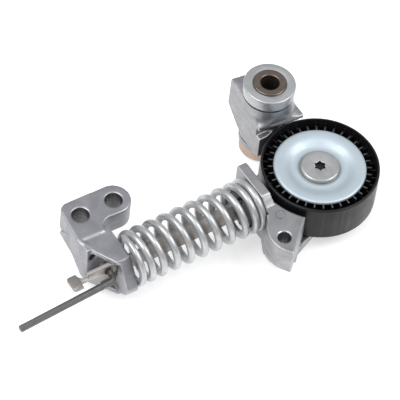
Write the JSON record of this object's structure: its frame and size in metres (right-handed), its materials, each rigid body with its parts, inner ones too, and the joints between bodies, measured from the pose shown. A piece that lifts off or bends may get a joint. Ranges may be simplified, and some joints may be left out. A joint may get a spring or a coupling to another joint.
{
  "type": "belt tensioner idler",
  "caption": "Sprung belt tensioner: a pivoting arm with a smooth idler pulley, pushed by a coil spring from an engine bracket, its strut locked by a bent hex key.",
  "frame": {"origin": "on the arm's pivot axis, at the face of the pivot that rests on the engine", "axes": "+Z along the pivot axis, away from the engine; +X along the spring, from the engine bracket to the arm"},
  "size_m": [0.2635, 0.1251, 0.0638],
  "materials": {
    "cast_aluminium": "as cast, blasted",
    "spring_coat": "satin silver coating",
    "turned_steel": "turned",
    "bearing_steel": "ground",
    "tinted_steel": "brown phosphate, turned",
    "strip_steel": "rolled strip",
    "black_oxide": "black oxide",
    "bronze": "sintered bronze",
    "zinc_sheet": "bright zinc, bluish",
    "black_nylon": "moulded",
    "seat_polymer": "moulded",
    "friction_polymer": "moulded",
    "cage_polymer": "moulded",
    "seal_rubber": "moulded"
  },
  "bodies": {
    "mounting": {"bracket_casting": "cast_aluminium", "coil_spring": "spring_coat", "pivot_sleeve": "tinted_steel", "pivot_base_ring": "bronze", "pivot_collar": "turned_steel", "lower_friction_washer": "friction_polymer", "upper_friction_washer": "friction_polymer"},
    "arm": {"arm_casting": "cast_aluminium", "lower_bush": "bronze", "upper_bush": "bronze", "arm_spring_seat": "seat_polymer", "blade_pin": "turned_steel", "bearing_inner_ring": "bearing_steel", "pulley_spacer": "turned_steel", "dust_shield": "zinc_sheet", "pulley_bolt": "turned_steel"},
    "pulley": {"pulley_body": "black_nylon", "bearing_outer_ring": "bearing_steel", "bearing_seal_front": "seal_rubber", "bearing_seal_back": "seal_rubber"},
    "ball_set": {"bearing_balls": "bearing_steel", "bearing_cage": "cage_polymer"},
    "blade": {"strut_blade": "strip_steel"},
    "key": {"hex_key": "black_oxide"}
  },
  "joints": [
    {"name": "arm_pivot", "type": "hinge", "parent": "mounting", "child": "arm", "pos_m": [0, 0, 0], "axis": [0, 0, -1], "range_deg": [0, 10], "stiffness_Nm_per_rad": 42, "springref_deg": -31.51, "deforming": ["coil_spring"]},
    {"name": "pulley_spin", "type": "hinge", "parent": "arm", "child": "pulley", "pos_m": [0.005, -0.055, 0], "axis": [0, 0, 1], "continuous": true},
    {"name": "cage_spin", "type": "hinge", "parent": "arm", "child": "ball_set", "pos_m": [0.005, -0.055, 0], "axis": [0, 0, 1], "continuous": true},
    {"name": "blade_hinge", "type": "hinge", "parent": "arm", "child": "blade", "pos_m": [-0.05, -0.0537, 0.0265], "axis": [0, 0, 1], "range_deg": [0, 16.2]},
    {"name": "key_pull", "type": "slide", "parent": "blade", "child": "key", "axis": [0.0523, -0.9986, 0], "range_m": [0, 0.02]}
  ],
  "couplings": [
    {"joint": "cage_spin", "follows": "pulley_spin", "ratio": 0.6121},
    {"joint": "blade_hinge", "follows": "arm_pivot", "ratio": 1.62}
  ]
}
